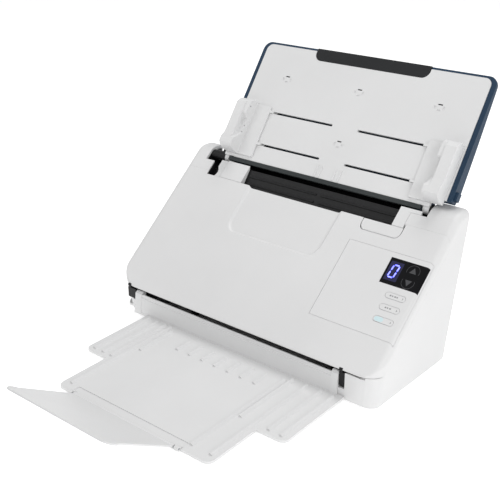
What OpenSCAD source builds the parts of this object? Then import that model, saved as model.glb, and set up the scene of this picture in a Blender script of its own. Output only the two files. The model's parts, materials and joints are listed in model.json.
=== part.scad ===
// Sheet fed document scanner with folding input and output trays, +Z up, +X to the scanner's right.

/* [Body] */
// left side of the body from the middle of the paper path (mm)
body_left = -171; // [-190:1:-150]
// right side of the body from the middle of the paper path (mm)
body_right = 150; // [130:1:180]
// height of the body's lower edge above the desk (mm)
foot_h = 3; // [2:0.5:6]
// height where the front cover meets the lower housing (mm)
part_z = 31.6; // [28:0.2:40]
// plan radius of the front left corner (mm)
corner_l = 30; // [10:1:40]
// plan radius of the front right corner (mm)
corner_r = 20; // [10:1:40]
// top of the two shoulders (mm)
shoulder_z = 144.5; // [135:0.5:155]
// wall thickness of the mouldings (mm)
wall = 2.5; // [2:0.1:4]

/* [Cover] */
// lower end of the sloping face, front to back (mm)
lip_y = 2; // [0:0.5:6]
// lower end of the sloping face, height (mm)
lip_z = 33.9; // [30:0.1:40]
// rise of the sloping face per mm of depth
slope_k = 0.865; // [0.7:0.005:1]
// upper edge of the sloping face at the paper throat (mm)
cover_y = 108.6; // [100:0.1:115]
// left end of the recess at the throat (mm)
notch_left = -137.6; // [-142:0.1:-125]
// right end of the recess at the throat (mm)
notch_right = 103.4; // [100:0.1:110]

/* [Control panel] */
// left seam of the control panel (mm)
panel_x = 59.3; // [50:0.1:70]
// lower seam of the control panel, front to back (mm)
panel_y0 = 28.3; // [24:0.1:34]
// upper seam of the control panel, front to back (mm)
panel_y1 = 89.7; // [84:0.1:96]
// left edge of the display window (mm)
display_x = 107.6; // [100:0.1:115]
// lower edge of the display window, front to back (mm)
display_y0 = 66; // [60:0.1:70]
// upper edge of the display window, front to back (mm)
display_y1 = 86; // [80:0.1:90]
// length of a function key (mm)
key_l = 20; // [14:0.5:26]
// width of a function key (mm)
key_w = 5.6; // [5:0.2:9]

/* [Input tray] */
// lean of the input tray above the horizontal (degrees)
tray_tilt = 54.5; // [45:0.5:70]
// half the width of the white tray panel (mm)
tray_half = 131; // [120:1:140]
// length of the tray panel (mm)
tray_len = 130; // [110:1:150]
// inner half width of the coloured back shell's rim (mm)
rim_half = 136; // [125:1:145]
// travel of each paper guide (mm)
guide_travel = 70; // [40:1:72]
// height of a guide's wall above the tray (mm)
guide_h = 18; // [8:1:20]
// inner face of a guide from the middle when fully open (mm)
guide_u = 113; // [108:1:115]

/* [Output tray] */
// half the width of the output tray near the body (mm)
out_half = 120.8; // [110:0.1:126]
// half the width of the output tray at its front (mm)
out_tip_half = 91.5; // [80:0.1:100]
// where the tray steps in, in front of the body (mm)
out_step = 85; // [60:1:100]
// length of the output tray in front of the body (mm)
out_len = 143; // [120:1:160]
// fall of the output tray towards its tip (degrees)
out_fall = 1.8; // [0:0.1:3]
// lift of the paper stop at rest (degrees)
flap_lift = 30; // [0:1:45]
// length of the paper stop (mm)
flap_len = 80; // [60:1:90]
// width of the paper stop at its hinge (mm)
flap_w = 130; // [100:1:140]

/* [Hidden] */
$fn = 48;
origin_x = 10.5;
origin_y = 1.85;
// hinge axes as [depth, height]
cover_axis = [1.8, part_z];
tray_axis = [134, 139.5];
out_axis = [3.2, 25.5];
flap_axis = [-144.3, 3.2];
// paper path, from the throat down to the exit slot
path = [[124.6, 136.0], [106, 110.5], [88, 86], [60, 62], [30, 39.5], [12, 30], [2.5, 27.6]];
// roller axes as [depth, height]
feed_axis = [98.0, 84.9];
sep_axis = [85.7, 94.0];
mid_axis = [79.7, 71.4];
mid_idler = [72.4, 79.95];
exit_axis = [29.7, 32.9];
exit_idler = [24.6, 42.4];
motor_axis = [70, 40];
frame_l = -128;
frame_r = 117.2;
pulley_r = 6;
tray_origin = [128.8, 144.2];
pinion_v = 37.6;
pitch = PI;
key_ys = [59, 50, 40.8];
key_x = 129.5;
sensor_pt = [50, 54.5];
sensor_a = 36.87;

function slope_z(y) = lip_z + slope_k * (y - lip_y);
slope_a = atan(slope_k);

// shifts the paper path's frame to the part's frame
module place() translate([origin_x, origin_y, 0]) children();

// extrudes a depth and height outline along X between x0 and x1
module along_x(x0, x1) {
  translate([x0, 0, 0])
    rotate([90, 0, 90])
      linear_extrude(x1 - x0) children();
}

// a round bar along X about an axis given as [depth, height]
module bar(x0, x1, at, r) {
  translate([x0, at[0], at[1]])
    rotate([0, 90, 0])
      cylinder(h = x1 - x0, r = r);
}

// body footprint, shrunk by m
module plan(m) {
  translate([body_left + corner_l, corner_l]) circle(r = corner_l - m, $fn = 96);
  translate([body_right - corner_r, corner_r]) circle(r = corner_r - m, $fn = 96);
  translate([body_left + corner_l, m])
    square([body_right - body_left - corner_l - corner_r, 200]);
  translate([body_left + m, corner_l]) square([corner_l, 200]);
  translate([body_right - corner_r, corner_r]) square([corner_r - m, 200]);
}

// closed side outline of the whole body, shrunk by m
module side_outline(m) {
  s = m / cos(slope_a);
  polygon([
    [-5, foot_h + m], [122 - m, foot_h + m], [125 - m, 20], [149.5 - m, shoulder_z - m - 1],
    [148.5 - m, shoulder_z - m], [137, shoulder_z - m], [128.5, slope_z(128.5) - s],
    [-5, slope_z(-5) - s]
  ]);
}

module body_solid(m) {
  intersection() {
    linear_extrude(160) plan(m);
    along_x(body_left, body_right) side_outline(m);
  }
}

// region that belongs to the moving front cover, grown by m
module cover_region(m) {
  polygon([
    [-6, part_z - m], [14, part_z - m], [112 + m, part_z + slope_k * 98 - m],
    [112 + m, 170], [-6, 170]
  ]);
}

module base_housing() {
  color([0.93, 0.93, 0.93])
  place()
  difference() {
    body_solid(0);
    // room for the front cover
    along_x(-200, 200) cover_region(0.3);
    along_x(-200, 200) polygon([[-6, part_z - 2.1], [3.9, part_z - 2.1], [3.9, 60], [-6, 60]]);
    // hollow of the tub
    intersection() {
      body_solid(wall);
      along_x(-200, 200) polygon([[-5, -5], [150, -5], [150, 62], [112, 111], [-5, 111]]);
    }
    // hollows of the shoulders
    intersection() {
      body_solid(wall);
      translate([body_left, 114.8, 50]) cube([-155 - body_left, 60, 120]);
    }
    intersection() {
      body_solid(wall);
      translate([125.5, 114.8, 50]) cube([60, 60, 120]);
    }
    // space between the shoulders for the chassis and the input tray
    translate([notch_left - 0.3, 105, 80]) cube([notch_right - notch_left + 0.1, 16.5, 100]);
    translate([-150, 121.4, 125.5]) cube([269.7, 24.7, 60]);
    translate([-150, 121.4, 134]) cube([269.7, 60, 60]);
    // hollow under the deck between the shoulders
    intersection() {
      body_solid(wall);
      translate([-150, 105, 50]) cube([269.7, 60, 73]);
    }
    // open front for the output tray
    translate([-150.7, -5, 16.8]) cube([270.3, 16, 30]);
    translate([113, -5, 13.8]) cube([6.6, 16, 30]);
    translate([-139.3, -5, foot_h + 2.2]) cube([252.4, 16, 40]);
    translate([-139.3, -5, 0]) cube([252.4, 7.5, 20]);
    // floor opening closed by the bottom plate
    translate([0, 0, -1]) intersection() {
      linear_extrude(20) plan(wall);
      translate([-200, 8.5, 0]) cube([400, 110, 20]);
    }
    // seat of the rear cover
    rear_seat(0.15);
    // openings for the ports and the lock slot
    translate([60, 110, 26]) cube([13.4, 40, 12.4]);
    translate([90, 150, 32]) rotate([90, 0, 0]) cylinder(h = 40, r = 5.6);
    translate([-132, 110, 30]) cube([7, 40, 3.4]);
    // bores for the tray pins in the inner shoulder walls
    bar(-154, -149, tray_axis, 2.06);
    bar(119, 124, tray_axis, 2.06);
  }
}

// recess of the rear access cover, grown by m
module rear_seat(m) {
  a = atan2(24.5, shoulder_z - 21);
  translate([-120 - m, 125 + 6.2, 20])
    rotate([-a, 0, 0])
      translate([0, -9, 22 - m]) cube([150 + 2 * m, 30, 66 + 2 * m]);
}

module rear_cover() {
  a = atan2(24.5, shoulder_z - 21);
  color([0.9, 0.9, 0.9])
  place()
  intersection() {
    difference() {
      rear_seat(-0.15);
      translate([-120, 125 + 6.2, 20])
        rotate([-a, 0, 0])
          translate([20, -12, 34])
            for (i = [0 : 7]) translate([i * 14, 0, 0]) cube([8, 40, 2.5]);
    }
    difference() {
      body_solid(0);
      body_solid(wall);
    }
  }
}

module bottom_plate() {
  color([0.85, 0.85, 0.85])
  place()
  difference() {
    intersection() {
      translate([0, 0, foot_h]) linear_extrude(2.2) plan(wall + 0.15);
      translate([-200, 8.65, 0]) cube([400, 109.7, 20]);
    }
    for (x = [-150, 132], y = [26, 104])
      translate([x, y, 0]) cylinder(h = 12, r = 1.7);
  }
}

module rubber_feet() {
  color([0.15, 0.15, 0.16])
  place()
  for (x = [-138, 118], y = [22, 106])
    translate([x, y, 0]) {
      cylinder(h = foot_h - 0.6, r = 7);
      translate([0, 0, foot_h - 0.6]) cylinder(h = 0.6, r = 5.5);
    }
}

module base_screws() {
  color([0.6, 0.6, 0.62])
  place()
  for (x = [-150, 132], y = [26, 104])
    translate([x, y, 0.8]) {
      cylinder(h = foot_h - 0.8, r = 3);
      translate([0, 0, foot_h - 0.8]) cylinder(h = 9, r = 1.5);
    }
}

// strip that follows the paper path between two heights above it
module path_strip(lo, hi, first, last) {
  n = last - first;
  function off(i, h) = let (
    a = i == 0 ? path[1] - path[0] : (i == 6 ? path[6] - path[5] : path[i + 1] - path[i - 1]),
    l = norm(a)
  ) [path[i][0] + a[1] / l * h, path[i][1] - a[0] / l * h];
  polygon(concat(
    [for (i = [first : last]) off(i, lo)],
    [for (i = [last : -1 : first]) off(i, hi)]
  ));
}

module paper_chassis() {
  color([0.09, 0.09, 0.1])
  place()
  difference() {
    union() {
      along_x(-126, 102.8) path_strip(-2.2, 0, 0, 6);
      along_x(102, 116.8) path_strip(-2.2, 0, 1, 5);
      // long low ridges in the throat, on both sides of the middle
      for (x = [-88, 3], d = [0, 4.6, 9.2])
        along_x(x, x + 85)
          translate([110.6 + d, 116.8 + 1.37 * d])
            rotate(53.9) polygon([[0, -0.5], [0.5, 1.1], [1.7, 1.1], [2.6, -0.5]]);
      // end blocks with the ears of the cover hinge
      end_block(-150.4, 11.2, -150, 17);
      end_block(113.2, 6.1, 113.2, 14);
      along_x(-150.4, -120) polygon([[8, 22], [13.6, 22], [13.6, 28.4], [8, 28.4]]);
      along_x(-126, -117.9) path_strip(-2.2, 0, 4, 6);
      // feet on the bottom plate
      for (x = [-90, 84])
        along_x(x, x + 6) polygon([[30, 5.3], [52, 5.3], [40, 46.5], [34, 42]]);
    }
    window(-27, 27, feed_axis, 9.6);
    for (s = [-1, 1]) {
      window(s * 50 - 14, s * 50 + 14, mid_axis, 6.6);
      window(s * 50 - 14, s * 50 + 14, exit_axis, 6.6);
    }
    sensor_box(-112, 112, -15, 1, 10.4);
    // bores of the output tray's pins
    bar(-151, -138, out_axis, 1.56);
    bar(112, 120, out_axis, 1.56);
    // room for the output tray's back wall as it turns
    bar(-139.1, 113.1, out_axis, 4.2);
    bar(-151, -145, cover_axis, 0.86);
    bar(112, 120, cover_axis, 0.86);
  }
}

// dark trim inside the throat and the pocket at the left end of the input tray
module throat_liners() {
  color([0.09, 0.09, 0.1])
  place()
  difference() {
    union() {
      along_x(notch_left, -126.4)
        polygon([[109.3, 113], [120.9, 128.4], [132, 128.4], [132, 126], [121.8, 126], [111, 110.6]]);
      along_x(notch_left, notch_left + 1)
        polygon([[109.4, 112], [109.4, 125.6], [121, 135.6], [121.2, 126.2]]);
      along_x(-149.7, 117) polygon([[125, 125.7], [145.8, 125.7], [145.8, 133.6], [144.6, 133.6],
        [144.6, 127], [125, 127]]);
      along_x(-149.7, -127) polygon([[121.7, 125.7], [145.8, 125.7], [145.8, 127], [121.7, 127]]);
      along_x(-149.7, -148.9)
        polygon([[121.7, 125.7], [145.8, 125.7], [145.8, 143], [132, 143], [121.7, 134.6]]);
    }
    bar(-151, -148, tray_axis, 2.3);
  }
}

// block at an end of the exit slot, w wide and z0 at its foot, with a hinge ear that starts at ear_x
module end_block(x, w, ear_x, z0) {
  along_x(x, x + w)
    polygon([[0.4, z0 + 2], [2.4, z0], [13.6, z0], [13.6, 28.4], [5.9, 28.4], [5.9, 29.3], [0.4, 29.3]]);
  along_x(ear_x, ear_x + 3.6)
    polygon([[0.6, 28], [3.4, 28], [3.4, cover_axis[1]], [0.6, cover_axis[1]]]);
  bar(ear_x, ear_x + 3.6, cover_axis, 1.7);
}

// clearance for a roller
module window(x0, x1, at, r) bar(x0, x1, at, r);

// a box in the frame of the sensors, from lo to hi above the path
module sensor_box(x0, x1, lo, hi, half) {
  along_x(x0, x1)
    translate(sensor_pt)
      rotate(sensor_a)
        translate([-half, lo]) square([2 * half, hi - lo]);
}

module throat_block(x0, x1, drop) {
  along_x(x0, x1)
    polygon([[109.1, slope_z(109.1) - drop], [124.6, slope_z(124.6) - drop], [124.2, 136.2], [109.1, 115.6]]);
}

module throat_block_left() {
  color([0.93, 0.93, 0.93])
  place()
  difference() {
    union() {
      throat_block(-119.9, -91, 0);
      // narrow waved cheek towards the hinge
      throat_block(-129.4, -119.9, 0.9);
    }
    translate([-131.6, 113.2, 100]) cylinder(h = 60, r = 5.2);
    along_x(-120.5, -119.9) slab(-1, 3, 105, 125.4);
  }
}

module throat_block_right() {
  color([0.93, 0.93, 0.93])
  place() {
    throat_block(91, 102.9, 0);
    along_x(102.8, 113.4)
      polygon([[121.8, slope_z(121.8)], [124.6, slope_z(124.6)], [124.2, 136.2], [121.8, 132.9]]);
  }
}

// steel side plate with the roller bearings
module side_frame(x) {
  color([0.66, 0.67, 0.7])
  place()
  difference() {
    along_x(x, x + 1.6)
      polygon([[14, 5.4], [108, 5.4], [118, 100], [112, 104], [96, 88], [88, 80], [60, 55], [34, 34],
        [20, 20]]);
    for (a = [feed_axis, mid_axis, exit_axis]) bar(x - 1, x + 3, a, 3.56);
    bar(x - 1, x + 3, motor_axis, 8.3);
    bar(x - 1, x + 3, [70, 20], 6);
  }
}

module side_frame_left() side_frame(frame_l);

module side_frame_right() side_frame(frame_r);

module drive_motor() {
  color([0.5, 0.5, 0.53])
  place() {
    difference() {
      union() {
        bar(frame_l + 1.7, frame_l + 13.7, motor_axis, 17.5);
        bar(frame_l - 0.6, frame_l + 1.7, motor_axis, 8.2);
      }
      bar(frame_l - 3, frame_l + 12, motor_axis, 2.06);
    }
  }
}

module main_board() {
  color([0.1, 0.35, 0.18])
  place() translate([-20, 72, 10]) cube([125, 40, 1.6]);
}

module board_chips() {
  color([0.12, 0.12, 0.13])
  place() {
    translate([10, 84, 11.6]) cube([16, 16, 1.6]);
    translate([40, 80, 11.6]) cube([12, 18, 1.4]);
    translate([-14, 76, 11.6]) cube([8, 30, 6]);
    translate([86, 76, 11.6]) cylinder(h = 11, r = 5);
    translate([74, 78, 11.6]) cylinder(h = 8, r = 4);
  }
}

module usb_port() {
  color([0.75, 0.75, 0.78])
  place()
  difference() {
    translate([60.2, 112, 26.2]) cube([13, 14.2, 12]);
    translate([61, 113, 27]) cube([11.4, 20, 10.4]);
  }
  color([0.1, 0.1, 0.12])
  place() translate([64, 112.9, 30.4]) cube([5.4, 11, 3.4]);
}

module power_jack() {
  color([0.08, 0.08, 0.09])
  place()
  difference() {
    translate([90, 126.6, 32]) rotate([90, 0, 0]) cylinder(h = 14, r = 5.4);
    translate([90, 127.6, 32]) rotate([90, 0, 0]) cylinder(h = 12, r = 2.8);
  }
  color([0.7, 0.7, 0.72])
  place() translate([90, 125, 32]) rotate([90, 0, 0]) cylinder(h = 9.6, r = 1);
}

module rear_image_sensor() {
  color([0.1, 0.1, 0.11])
  place() sensor_box(-111.5, 111.5, -14, -1.5, 10);
}

module rear_sensor_glass() {
  color([0.35, 0.4, 0.42, 0.6])
  place() sensor_box(-111, 111, -1.45, -0.3, 9.6);
}

// toothless loop around two equal pulleys
module belt(x, a, b) {
  d = b - a;
  color([0.07, 0.07, 0.07])
  place()
  along_x(x, x + 5)
    translate(a)
      rotate(atan2(d[1], d[0]))
        difference() {
          union() {
            circle(r = pulley_r + 1.35);
            translate([norm(d), 0]) circle(r = pulley_r + 1.35);
            translate([0, -pulley_r - 1.35]) square([norm(d), 2 * pulley_r + 2.7]);
          }
          circle(r = pulley_r + 0.15);
          translate([norm(d), 0]) circle(r = pulley_r + 0.15);
          translate([0, -pulley_r - 0.15]) square([norm(d), 2 * pulley_r + 0.3]);
        }
}

module drive_belt() belt(-140.5, exit_axis, feed_axis);

module motor_belt() belt(-148.5, motor_axis, mid_axis);

// toothed-belt pulley with two thin flanges
module pulley(x, at, r) {
  bar(x, x + 6, at, r);
  bar(x - 0.8, x, at, r + 1.6);
  bar(x + 6, x + 6.8, at, r + 1.6);
}

module transport_shaft() {
  color([0.72, 0.72, 0.75])
  place() {
    bar(frame_l - 22.5, 120, mid_axis, 2.4);
    bar(frame_l - 0.2, frame_l + 2.2, mid_axis, 3.5);
    bar(frame_r - 0.2, frame_r + 2.2, mid_axis, 3.5);
    pulley(-149, mid_axis, pulley_r);
    bar(-141, -135, mid_axis, 5.2);
  }
}

module tyres(at, r, spans) {
  color([0.18, 0.18, 0.19])
  place()
  for (s = spans)
    difference() {
      bar(s[0], s[1], at, r);
      bar(s[0] - 1, s[1] + 1, at, 2.4);
    }
}

module transport_tyres() tyres(mid_axis, 6, [[-62, -38], [38, 62]]);

module feed_shaft() {
  color([0.72, 0.72, 0.75])
  place() {
    bar(frame_l - 14, 120, feed_axis, 2.4);
    bar(frame_l - 0.2, frame_l + 2.2, feed_axis, 3.5);
    bar(frame_r - 0.2, frame_r + 2.2, feed_axis, 3.5);
    pulley(-141, feed_axis, pulley_r);
  }
}

module feed_tyres() tyres(feed_axis, 9, [[-25, -1], [1, 25]]);

module exit_shaft() {
  color([0.72, 0.72, 0.75])
  place() {
    bar(frame_l - 14, 120, exit_axis, 2.4);
    bar(frame_l - 0.2, frame_l + 2.2, exit_axis, 3.5);
    bar(frame_r - 0.2, frame_r + 2.2, exit_axis, 3.5);
    pulley(-141, exit_axis, pulley_r);
  }
}

module exit_tyres() tyres(exit_axis, 6, [[-62, -38], [38, 62]]);

module motor_pulley() {
  color([0.8, 0.78, 0.6])
  place() {
    bar(-150, frame_l + 10, motor_axis, 2);
    pulley(-149, motor_axis, pulley_r);
  }
}

// sloping slab between two depths below the cover's face
module slab(lo, hi, y0, y1) {
  a = lo / cos(slope_a);
  b = hi / cos(slope_a);
  polygon([[y0, slope_z(y0) - a], [y1, slope_z(y1) - a], [y1, slope_z(y1) - b],
    [y0, slope_z(y0) - b]]);
}

module adf_cover_shell() {
  color([0.92, 0.92, 0.92])
  place()
  difference() {
    union() {
      intersection() {
        difference() {
          intersection() {
            linear_extrude(170) plan(0);
            along_x(-200, 200)
              polygon([[0, part_z], [14, part_z], [112, part_z + slope_k * 98],
                [112, slope_z(112)], [lip_y, lip_z], [0.5, 33.3], [0, 32.6]]);
          }
          intersection() {
            linear_extrude(170) plan(wall);
            along_x(-200, 200)
              polygon([[3.6, 30], [14, 20], [113, 100], [113, slope_z(113) - 3.3],
                [3.6, slope_z(3.6) - 3.3]]);
          }
        }
        along_x(-200, 200) cover_region(0);
      }
      // rounded bead that turns about the hinge axis
      bar(-146.1, 112.9, cover_axis, 1.8);
      along_x(-146.1, 112.9) polygon([[0, part_z], [3.6, part_z], [3.6, 33.5], [1, 33.2], [0, 32.6]]);
      bar(117.1, 131, cover_axis, 1.8);
    }
    // ears of the chassis
    for (x = [-150.3, 112.9])
      translate([x, -0.1, 26]) cube([4.2, 4, part_z + 2.05 - 26]);
    // end blocks of the chassis
    for (x = [-150.8, 112.9])
      translate([x, -0.1, 26]) cube([x < 0 ? 12 : 6.8, 6.2, 3.7]);
    // bores for the hinge pins
    bar(-155, -140, cover_axis, 0.8);
    bar(110, 122, cover_axis, 0.8);
    // recess at the throat
    translate([notch_left, cover_y, 100]) cube([notch_right - notch_left, 10, 60]);
    // seat of the control panel
    along_x(panel_x - 0.3, 160) slab(-5, 2.2, panel_y0 - 0.3, panel_y1 + 0.3);
    // shallow scoop for lifting the sheets
    scoop();
    // seat of the release button
    along_x(61.4, 104.4) slab(-5, 5, 99.6, 120);
    // hole for the keys of the control panel
    along_x(105, 144) slab(-5, 5, 31, 87.5);
  }
}

module scoop() {
  d = 1.3;
  translate([-21.5, 0, 0])
    intersection() {
      along_x(-57, 57) slab(-5, d, 66, 110);
      union() {
        translate([0, 0, 50]) linear_extrude(100)
          polygon([[-57, 111], [-54, 76], [54, 76], [57, 111]]);
        for (s = [-1, 1])
          translate([s * 44, 76, 50]) cylinder(h = 100, r = 10);
        translate([-44, 66, 50]) cube([88, 12, 100]);
      }
    }
}

module cover_liner() {
  color([0.08, 0.08, 0.09])
  place()
  difference() {
    union() {
      along_x(-117, 112)
        polygon([[107.6, 118.8], [104.4, 112.2], [86.5, 88.3], [58.7, 64.1], [29, 41.6], [11, 32.4],
          [6.4, 31], [6.4, 33], [28, 44], [57.4, 66], [84.8, 90], [101.8, 111.4], [105, 116]]);
      // bearing ears of the idlers and of the separation roller
      for (x = [-66, -36.4, 34, 63.6]) {
        ear(x, mid_idler, 3.4);
        ear(x, exit_idler, 3.2);
      }
      for (x = [-30, 27.6]) ear(x, sep_axis, 3.4);
    }
    window(-26.6, 26.6, sep_axis, 6.6);
    for (s = [-1, 1]) {
      window(s * 50 - 13.2, s * 50 + 13.2, mid_idler, 5.6);
      window(s * 50 - 13.2, s * 50 + 13.2, exit_idler, 5.1);
    }
    for (a = [sep_axis, mid_idler, exit_idler]) bar(-70, 70, a, 1.56);
    sensor_box(-112.2, 112.2, 0, 14, 10.4);
  }
}

module ear(x, at, r) {
  bar(x, x + 2.4, at, r);
}

module front_image_sensor() {
  color([0.1, 0.1, 0.11])
  place() sensor_box(-111.5, 111.5, 3.3, 11.8, 10);
}

module front_sensor_glass() {
  color([0.35, 0.4, 0.42, 0.6])
  place() sensor_box(-111, 111, 2.2, 3.25, 9.6);
}

// rounded key outline, seen along the slope's normal
module pill(l, w) {
  translate([-l / 2 + w / 2, 0]) circle(d = w);
  translate([l / 2 - w / 2, 0]) circle(d = w);
  translate([-l / 2 + w / 2, -w / 2]) square([l - w, w]);
}

// puts a flat outline on the sloping face at depth y, from lo to hi below the face
module on_slope(x, y, lo, hi) {
  translate([x, y, slope_z(y)])
    rotate([slope_a, 0, 0])
      translate([0, 0, -hi])
        linear_extrude(hi - lo) children();
}

module arrow(s, r) rotate(s * 90) circle(r = r, $fn = 3);

module control_panel() {
  color([0.94, 0.94, 0.94])
  place()
  difference() {
    intersection() {
      linear_extrude(170) plan(0);
      along_x(panel_x, 160) slab(0, 1.9, panel_y0, panel_y1);
    }
    along_x(display_x, 160) slab(-2, 1.1, display_y0, display_y1);
    along_x(display_x + 2, 146) slab(-2, 5, display_y0 + 1.5, display_y1 - 1.5);
    for (y = key_ys) on_slope(key_x, y, -2, 5) pill(key_l + 0.6, key_w + 0.6);
  }
}

module display_window() {
  color([0.03, 0.03, 0.04])
  place()
  difference() {
    intersection() {
      linear_extrude(170) plan(0);
      along_x(display_x + 0.1, 160) slab(0.05, 1.05, display_y0 + 0.1, display_y1 - 0.1);
    }
    on_slope(133.5, 79.9, -2, 5) arrow(1, 4.5);
    on_slope(133.5, 71.6, -2, 5) arrow(-1, 4.5);
  }
}

module panel_board() {
  color([0.1, 0.35, 0.18])
  place()
  intersection() {
    linear_extrude(170) plan(wall + 1);
    along_x(113.5, 143) slab(6.2, 7.4, 33, 83);
  }
}

module cover_hinge_pins() {
  color([0.72, 0.72, 0.75])
  place() {
    bar(-151.5, -142, cover_axis, 0.8);
    bar(111, 121, cover_axis, 0.8);
  }
}

module separation_roller() {
  color([0.3, 0.3, 0.32])
  place() {
    bar(-26, 26, sep_axis, 6);
    bar(-30.5, 30.5, sep_axis, 1.5);
  }
}

module idlers(at, r) {
  color([0.85, 0.85, 0.82])
  place() {
    for (s = [-1, 1]) bar(s * 50 - 12, s * 50 + 12, at, r);
    bar(-67, 67, at, 1.5);
  }
}

module middle_idlers() idlers(mid_idler, 5);

module exit_idlers() idlers(exit_idler, 4.5);

module up_key() {
  color([0.3, 0.31, 0.33])
  place() on_slope(133.5, 79.9, -0.1, 4) arrow(1, 3.9);
}

module down_key() {
  color([0.3, 0.31, 0.33])
  place() on_slope(133.5, 71.6, -0.1, 4) arrow(-1, 3.9);
}

// function key with a stem towards the board
module function_key(i) {
  color([0.95, 0.95, 0.95])
  place() {
    on_slope(key_x, key_ys[i], -0.35, 2.4) pill(key_l, key_w);
    on_slope(key_x, key_ys[i], 2.4, 4.6) circle(d = 4);
  }
}

module mode_key_one() function_key(0);

module mode_key_two() function_key(1);

module start_key() function_key(2);

module release_button() {
  color([0.93, 0.93, 0.93])
  place()
  union() {
      intersection() {
        along_x(61.7, 104.1) slab(0, 3, 99.9, 108.3);
        union() {
          translate([66.7, 104.9, 90]) cylinder(h = 60, r = 5);
          translate([99.1, 104.9, 90]) cylinder(h = 60, r = 5);
          translate([66.7, 99.9, 90]) cube([32.4, 8.4, 60]);
          translate([61.7, 104.9, 90]) cube([42.4, 3.5, 60]);
        }
      }
      // guide posts
      for (x = [67, 99]) on_slope(x, 104, 2.9, 3.7) circle(d = 4);
  }
}

// frame of the input tray: u across, v up the tray, w out of its face
module tray_frame() {
  place()
    translate([0, tray_origin[0], tray_origin[1]])
      rotate([tray_tilt, 0, 0]) children();
}

// outline of the tray with round upper corners, half width h, from v0 to v1
module tray_outline(h, v0, v1, r) {
  for (s = [-1, 1]) translate([s * (h - r), v1 - r]) circle(r = r);
  translate([-h, v0]) square([2 * h, v1 - r - v0]);
  translate([-h + r, v0]) square([2 * (h - r), v1 - v0]);
}

module handle_outline(m) {
  for (s = [-1, 1]) translate([s * 59, 128]) circle(r = 8 + m);
  translate([-59, 120 - m]) square([118, 20]);
  translate([-67 - m, 128]) square([134 + 2 * m, 12]);
}

module tray_panel() {
  color([0.93, 0.93, 0.93])
  tray_frame()
  difference() {
    union() {
      translate([0, 0, -3]) linear_extrude(3) {
        tray_outline(tray_half, 9.4, tray_len, 7);
        translate([-117, 0.2]) square([234, 12]);
        translate([-130, 0.6]) square([20, 12]);
      }
      // white knuckles at both ends
      tray_lug(-130, -123.4, 5);
      tray_lug(110.2, 116.8, 5);
      // short feeding ribs at the lower edge
      for (u = [-12.6, -7.6, 8.8, 15.2])
        translate([u - 0.8, 1, 0]) cube([1.6, 11.6, 0.8]);
    }
    tray_lug(-131, -122, 2.02);
    tray_lug(109, 118, 2.02);
    // slots for the guide keys
    for (s = [-1, 1], v = [19.4, 55.6])
      translate([s * 54.5, v, -4]) linear_extrude(8) pill(guide_travel + 9, 2.4);
    translate([0, 0, -5]) linear_extrude(9) handle_outline(0.2);
    // shallow pockets and slits of the four assembly snaps
    for (p = [[-90, 94], [0, 94], [90, 94], [0, 38]])
      translate([p[0], p[1], 0]) {
        translate([-2.4, 2.4, -1.6]) cube([4.8, 1.2, 3]);
        for (s = [-1, 1]) translate([s * 4.6 - 1, -1.6, -0.6]) cube([2, 3, 2]);
        translate([-1.6, -3.6, -0.6]) cube([3.2, 1.4, 2]);
      }
  }
}

// extrudes an outline given along the tray and out of its face, across the tray
module across_u(u0, u1) {
  translate([u0, 0, 0])
    rotate([90, 0, 90])
      linear_extrude(u1 - u0) children();
}

module tray_back_shell() {
  color([0.22, 0.3, 0.4])
  tray_frame()
  difference() {
    union() {
      intersection() {
        translate([0, 0, -14]) linear_extrude(13.4) tray_outline(rim_half, 9.4, tray_len + 2.4, 9);
        across_u(-150, 150) polygon([[0, 0], [0, -9], [9.4, -10], [20, -13], [66, -10], [132.4, -4],
          [132.4, 0]]);
      }
      translate([-117, -1, -10]) cube([234, 12, 6.9]);
      // hinge lugs and the side bosses
      tray_lug(-117, -105, 3.9);
      tray_lug(103, 109.8, 3.9);
      for (s = [-1, 1]) translate([s * 137.4, 16, -8.6]) translate([-1.5, -4, 0]) cube([3, 8, 6]);
    }
    // pocket behind the panel
    difference() {
      across_u(-128, 128) polygon([[14, -2.9], [14, -8.4], [20, -10.8], [64, -8], [112, -4.2], [112, -2.9]]);
      translate([0, pinion_v, -12]) cylinder(h = 8, r = 1.5);
    }
    // seat of the panel
    translate([0, 0, -3.05]) linear_extrude(6) {
      tray_outline(tray_half + 0.15, 9.2, tray_len + 0.15, 7);
      translate([-130, 0]) square([260, 12]);
    }
    translate([0, 0, -11]) linear_extrude(14) handle_outline(0.2);
    tray_lug(-118, -104, 2.02);
    tray_lug(102, 118, 2.02);
    // room for the panel's right knuckle
    tray_lug(109.9, 120, 5.4);
  }
}

// bar on the tray's hinge axis, in the tray's own frame
module tray_lug(x0, x1, r) {
  d = tray_axis - tray_origin;
  v = d[0] * cos(tray_tilt) + d[1] * sin(tray_tilt);
  w = -d[0] * sin(tray_tilt) + d[1] * cos(tray_tilt);
  translate([x0, v, w]) rotate([0, 90, 0]) cylinder(h = x1 - x0, r = r);
}

module tray_handle() {
  color([0.16, 0.17, 0.18])
  tray_frame()
  difference() {
    translate([0, 0, -5.2]) linear_extrude(5.5)
      intersection() {
        handle_outline(0);
        translate([-100, 100]) square([200, 33]);
      }
    translate([-50, 128.5, -4]) cube([100, 6, 3]);
  }
}

module tray_seal_strip() {
  color([0.2, 0.22, 0.22])
  tray_frame()
  translate([-122.6, -4.2, -3]) cube([231.8, 4.1, 3.6]);
}

module tray_hinge_pins() {
  color([0.72, 0.72, 0.75])
  tray_frame() {
    tray_lug(-153, -105, 2);
    tray_lug(105, 123, 2);
  }
}

module tray_hinge_sleeves() {
  color([0.1, 0.1, 0.11])
  tray_frame()
  difference() {
    union() {
      tray_lug(-148.4, -130.3, 5.2);
      tray_lug(117.2, 119.4, 5.2);
      translate([-138, 1, -9.6]) cube([7.7, 8, 4]);
    }
    tray_lug(-160, -110, 2.02);
    tray_lug(110, 130, 2.02);
  }
}

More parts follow.
